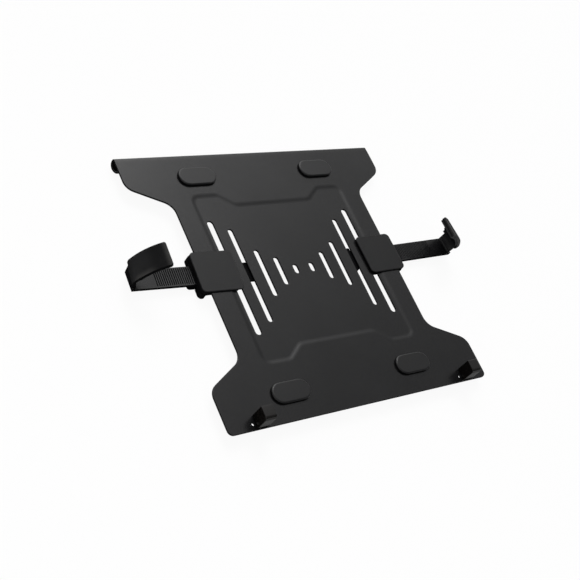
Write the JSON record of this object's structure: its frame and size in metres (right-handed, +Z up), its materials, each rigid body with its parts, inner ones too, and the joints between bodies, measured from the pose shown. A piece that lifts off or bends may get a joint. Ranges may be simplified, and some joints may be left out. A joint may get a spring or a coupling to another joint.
{
  "type": "laptop tray mount",
  "caption": "Black pressed steel laptop tray with a rolled rear lip, front stops, rubber pads and sliding ratchet clamps whose leaning jaws grip the laptop's sides.",
  "frame": {"origin": "on the pressed panel's top face, at the centre of the slot pattern", "axes": "+X across the tray towards the right clamp, +Y from the front stops to the rolled lip, +Z up"},
  "size_m": [0.3713, 0.2735, 0.0427],
  "materials": {
    "powder_coat": "satin black powder coat",
    "clamp_moulding": "fine moulded texture",
    "arm_nylon": "smooth black nylon",
    "pad_rubber": "matte black rubber",
    "stop_rubber": "smooth moulded rubber",
    "screw_zinc": "dark zinc plate"
  },
  "bodies": {
    "tray": {"tray_plate": "powder_coat", "rear_mount_rail": "powder_coat", "front_mount_rail": "powder_coat", "rear_left_pad": "pad_rubber", "rear_right_pad": "pad_rubber", "front_left_pad": "pad_rubber", "front_right_pad": "pad_rubber", "left_front_stop": "stop_rubber", "right_front_stop": "stop_rubber", "left_stop_screw": "screw_zinc", "right_stop_screw": "screw_zinc"},
    "left_carriage": {"left_clamp_cover": "clamp_moulding", "left_clamp_base": "clamp_moulding", "left_clamp_screw_front": "screw_zinc", "left_clamp_screw_rear": "screw_zinc"},
    "left_arm": {"left_arm": "arm_nylon", "left_jaw_pad": "pad_rubber"},
    "left_lever": {"left_release_lever": "arm_nylon"},
    "right_carriage": {"right_clamp_cover": "clamp_moulding", "right_clamp_base": "clamp_moulding", "right_clamp_screw_front": "screw_zinc", "right_clamp_screw_rear": "screw_zinc"},
    "right_arm": {"right_arm": "arm_nylon", "right_jaw_pad": "pad_rubber"},
    "right_lever": {"right_release_lever": "arm_nylon"}
  },
  "joints": [
    {"name": "left_carriage_slide", "type": "slide", "parent": "tray", "child": "left_carriage", "axis": [0, 1, 0], "range_m": [-0.0335, 0.0225]},
    {"name": "right_carriage_slide", "type": "slide", "parent": "tray", "child": "right_carriage", "axis": [0, 1, 0], "range_m": [-0.0318, 0.0242]},
    {"name": "left_arm_slide", "type": "slide", "parent": "left_carriage", "child": "left_arm", "axis": [-0.9988, 0.0489, 0], "range_m": [-0.0431, 0.0203]},
    {"name": "right_arm_slide", "type": "slide", "parent": "right_carriage", "child": "right_arm", "axis": [0.9999, 0.014, 0], "range_m": [-0.055, 0.0084]},
    {"name": "left_lever_hinge", "type": "hinge", "parent": "left_carriage", "child": "left_lever", "pos_m": [-0.10457, 0.00702, -0.0073], "axis": [0.0489, 0.9988, 0], "range_deg": [0, 2.5], "stiffness_Nm_per_rad": 0.02, "springref_deg": -2.86},
    {"name": "right_lever_hinge", "type": "hinge", "parent": "right_carriage", "child": "right_lever", "pos_m": [0.1046, 0.00438, -0.0073], "axis": [0.014, -0.9999, 0], "range_deg": [0, 2.5], "stiffness_Nm_per_rad": 0.02, "springref_deg": -2.86}
  ]
}
